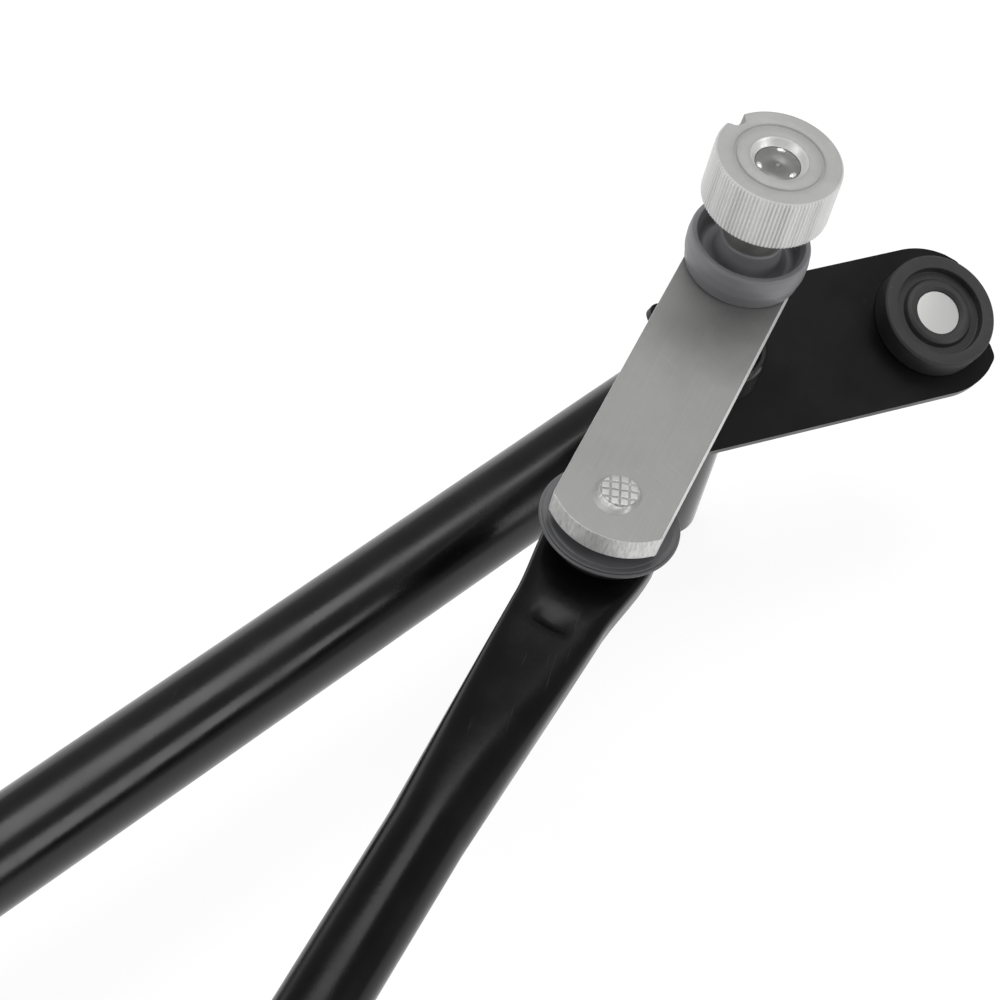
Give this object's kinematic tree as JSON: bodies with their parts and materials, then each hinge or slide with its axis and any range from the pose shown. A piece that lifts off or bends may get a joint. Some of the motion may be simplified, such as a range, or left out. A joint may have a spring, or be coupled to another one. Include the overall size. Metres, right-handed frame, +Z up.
{
  "type": "windshield wiper linkage",
  "caption": "Tube-frame wiper linkage: knurled pivots turned by flat levers, with ball-jointed drive links, rubber grommets and a motor plate.",
  "frame": {"origin": "on the right pivot's axis, at the foot of its knurled drum", "axes": "+Z up the pivots' axes, towards the drums; the frame tube runs from the right pivot along -X, and the motor plate lies towards -Y"},
  "size_m": [0.7254, 0.1621, 0.1101],
  "materials": {
    "frame_black": "satin black coat on steel, with fine dust and small scuffs",
    "housing_black": "gloss black coat on steel",
    "link_black": "satin black coat on drawn and pressed tube",
    "zinc_plate": "satin zinc plate, scratched, with a sheared edge",
    "stud_steel": "machined and riveted steel",
    "drum_alloy": "die-cast, matt on top and finely knurled round the side",
    "pin_steel": "bright headed pin",
    "washer_steel": "plain zinc-plated washer",
    "rivet_steel": "dark set rivet",
    "bush_bronze": "sintered bearing bronze",
    "rubber_black": "matt moulded rubber",
    "rubber_grey": "smooth dark grey rubber",
    "socket_plastic": "moulded black bearing plastic"
  },
  "bodies": {
    "frame": {"frame_tube": "frame_black", "right_bracket": "frame_black", "left_bracket": "frame_black", "motor_plate": "frame_black", "tube_saddle": "frame_black", "saddle_rivets": "rivet_steel", "right_housing": "housing_black", "left_housing": "housing_black", "right_upper_bush": "bush_bronze", "left_upper_bush": "bush_bronze", "right_lower_bush": "bush_bronze", "left_lower_bush": "bush_bronze", "right_thrust_washer": "washer_steel", "left_thrust_washer": "washer_steel", "right_lower_washer": "washer_steel", "left_lower_washer": "washer_steel", "right_grommet": "rubber_black", "left_grommet": "rubber_black", "motor_grommet": "rubber_black", "right_locating_pin": "pin_steel", "left_locating_pin": "pin_steel", "motor_locating_pin": "pin_steel"},
    "right_arm": {"right_retaining_clip": "washer_steel", "right_shaft": "stud_steel", "right_drum": "drum_alloy", "right_cup_seal": "rubber_grey", "right_lever": "zinc_plate", "right_ball_stud": "stud_steel"},
    "left_arm": {"left_retaining_clip": "washer_steel", "left_shaft": "stud_steel", "left_drum": "drum_alloy", "left_cup_seal": "rubber_grey", "left_lever": "zinc_plate", "left_ball_stud": "stud_steel"},
    "right_rod": {"right_link": "link_black", "right_lever_socket": "socket_plastic", "right_crank_socket": "socket_plastic", "right_lever_seal": "rubber_grey", "right_crank_seal": "rubber_grey"},
    "left_rod": {"left_link": "link_black", "left_lever_socket": "socket_plastic", "left_crank_socket": "socket_plastic", "left_lever_seal": "rubber_grey", "left_crank_seal": "rubber_grey"}
  },
  "joints": [
    {"name": "right_lever_swing", "type": "hinge", "parent": "frame", "child": "right_arm", "pos_m": [0, 0, 0], "axis": [0, 0, 1], "range_deg": [-30, 100]},
    {"name": "left_lever_swing", "type": "hinge", "parent": "frame", "child": "left_arm", "pos_m": [-0.6, 0, 0], "axis": [0, 0, 1], "range_deg": [-100, 30]},
    {"name": "right_link_swing", "type": "hinge", "parent": "right_arm", "child": "right_rod", "pos_m": [-0.0661, -0.02591, -0.0357], "axis": [0, 0, 1], "range_deg": [-135, 30]},
    {"name": "left_link_swing", "type": "hinge", "parent": "left_arm", "child": "left_rod", "pos_m": [-0.5339, -0.02591, -0.0067], "axis": [0, 0, 1], "range_deg": [-30, 135]}
  ]
}
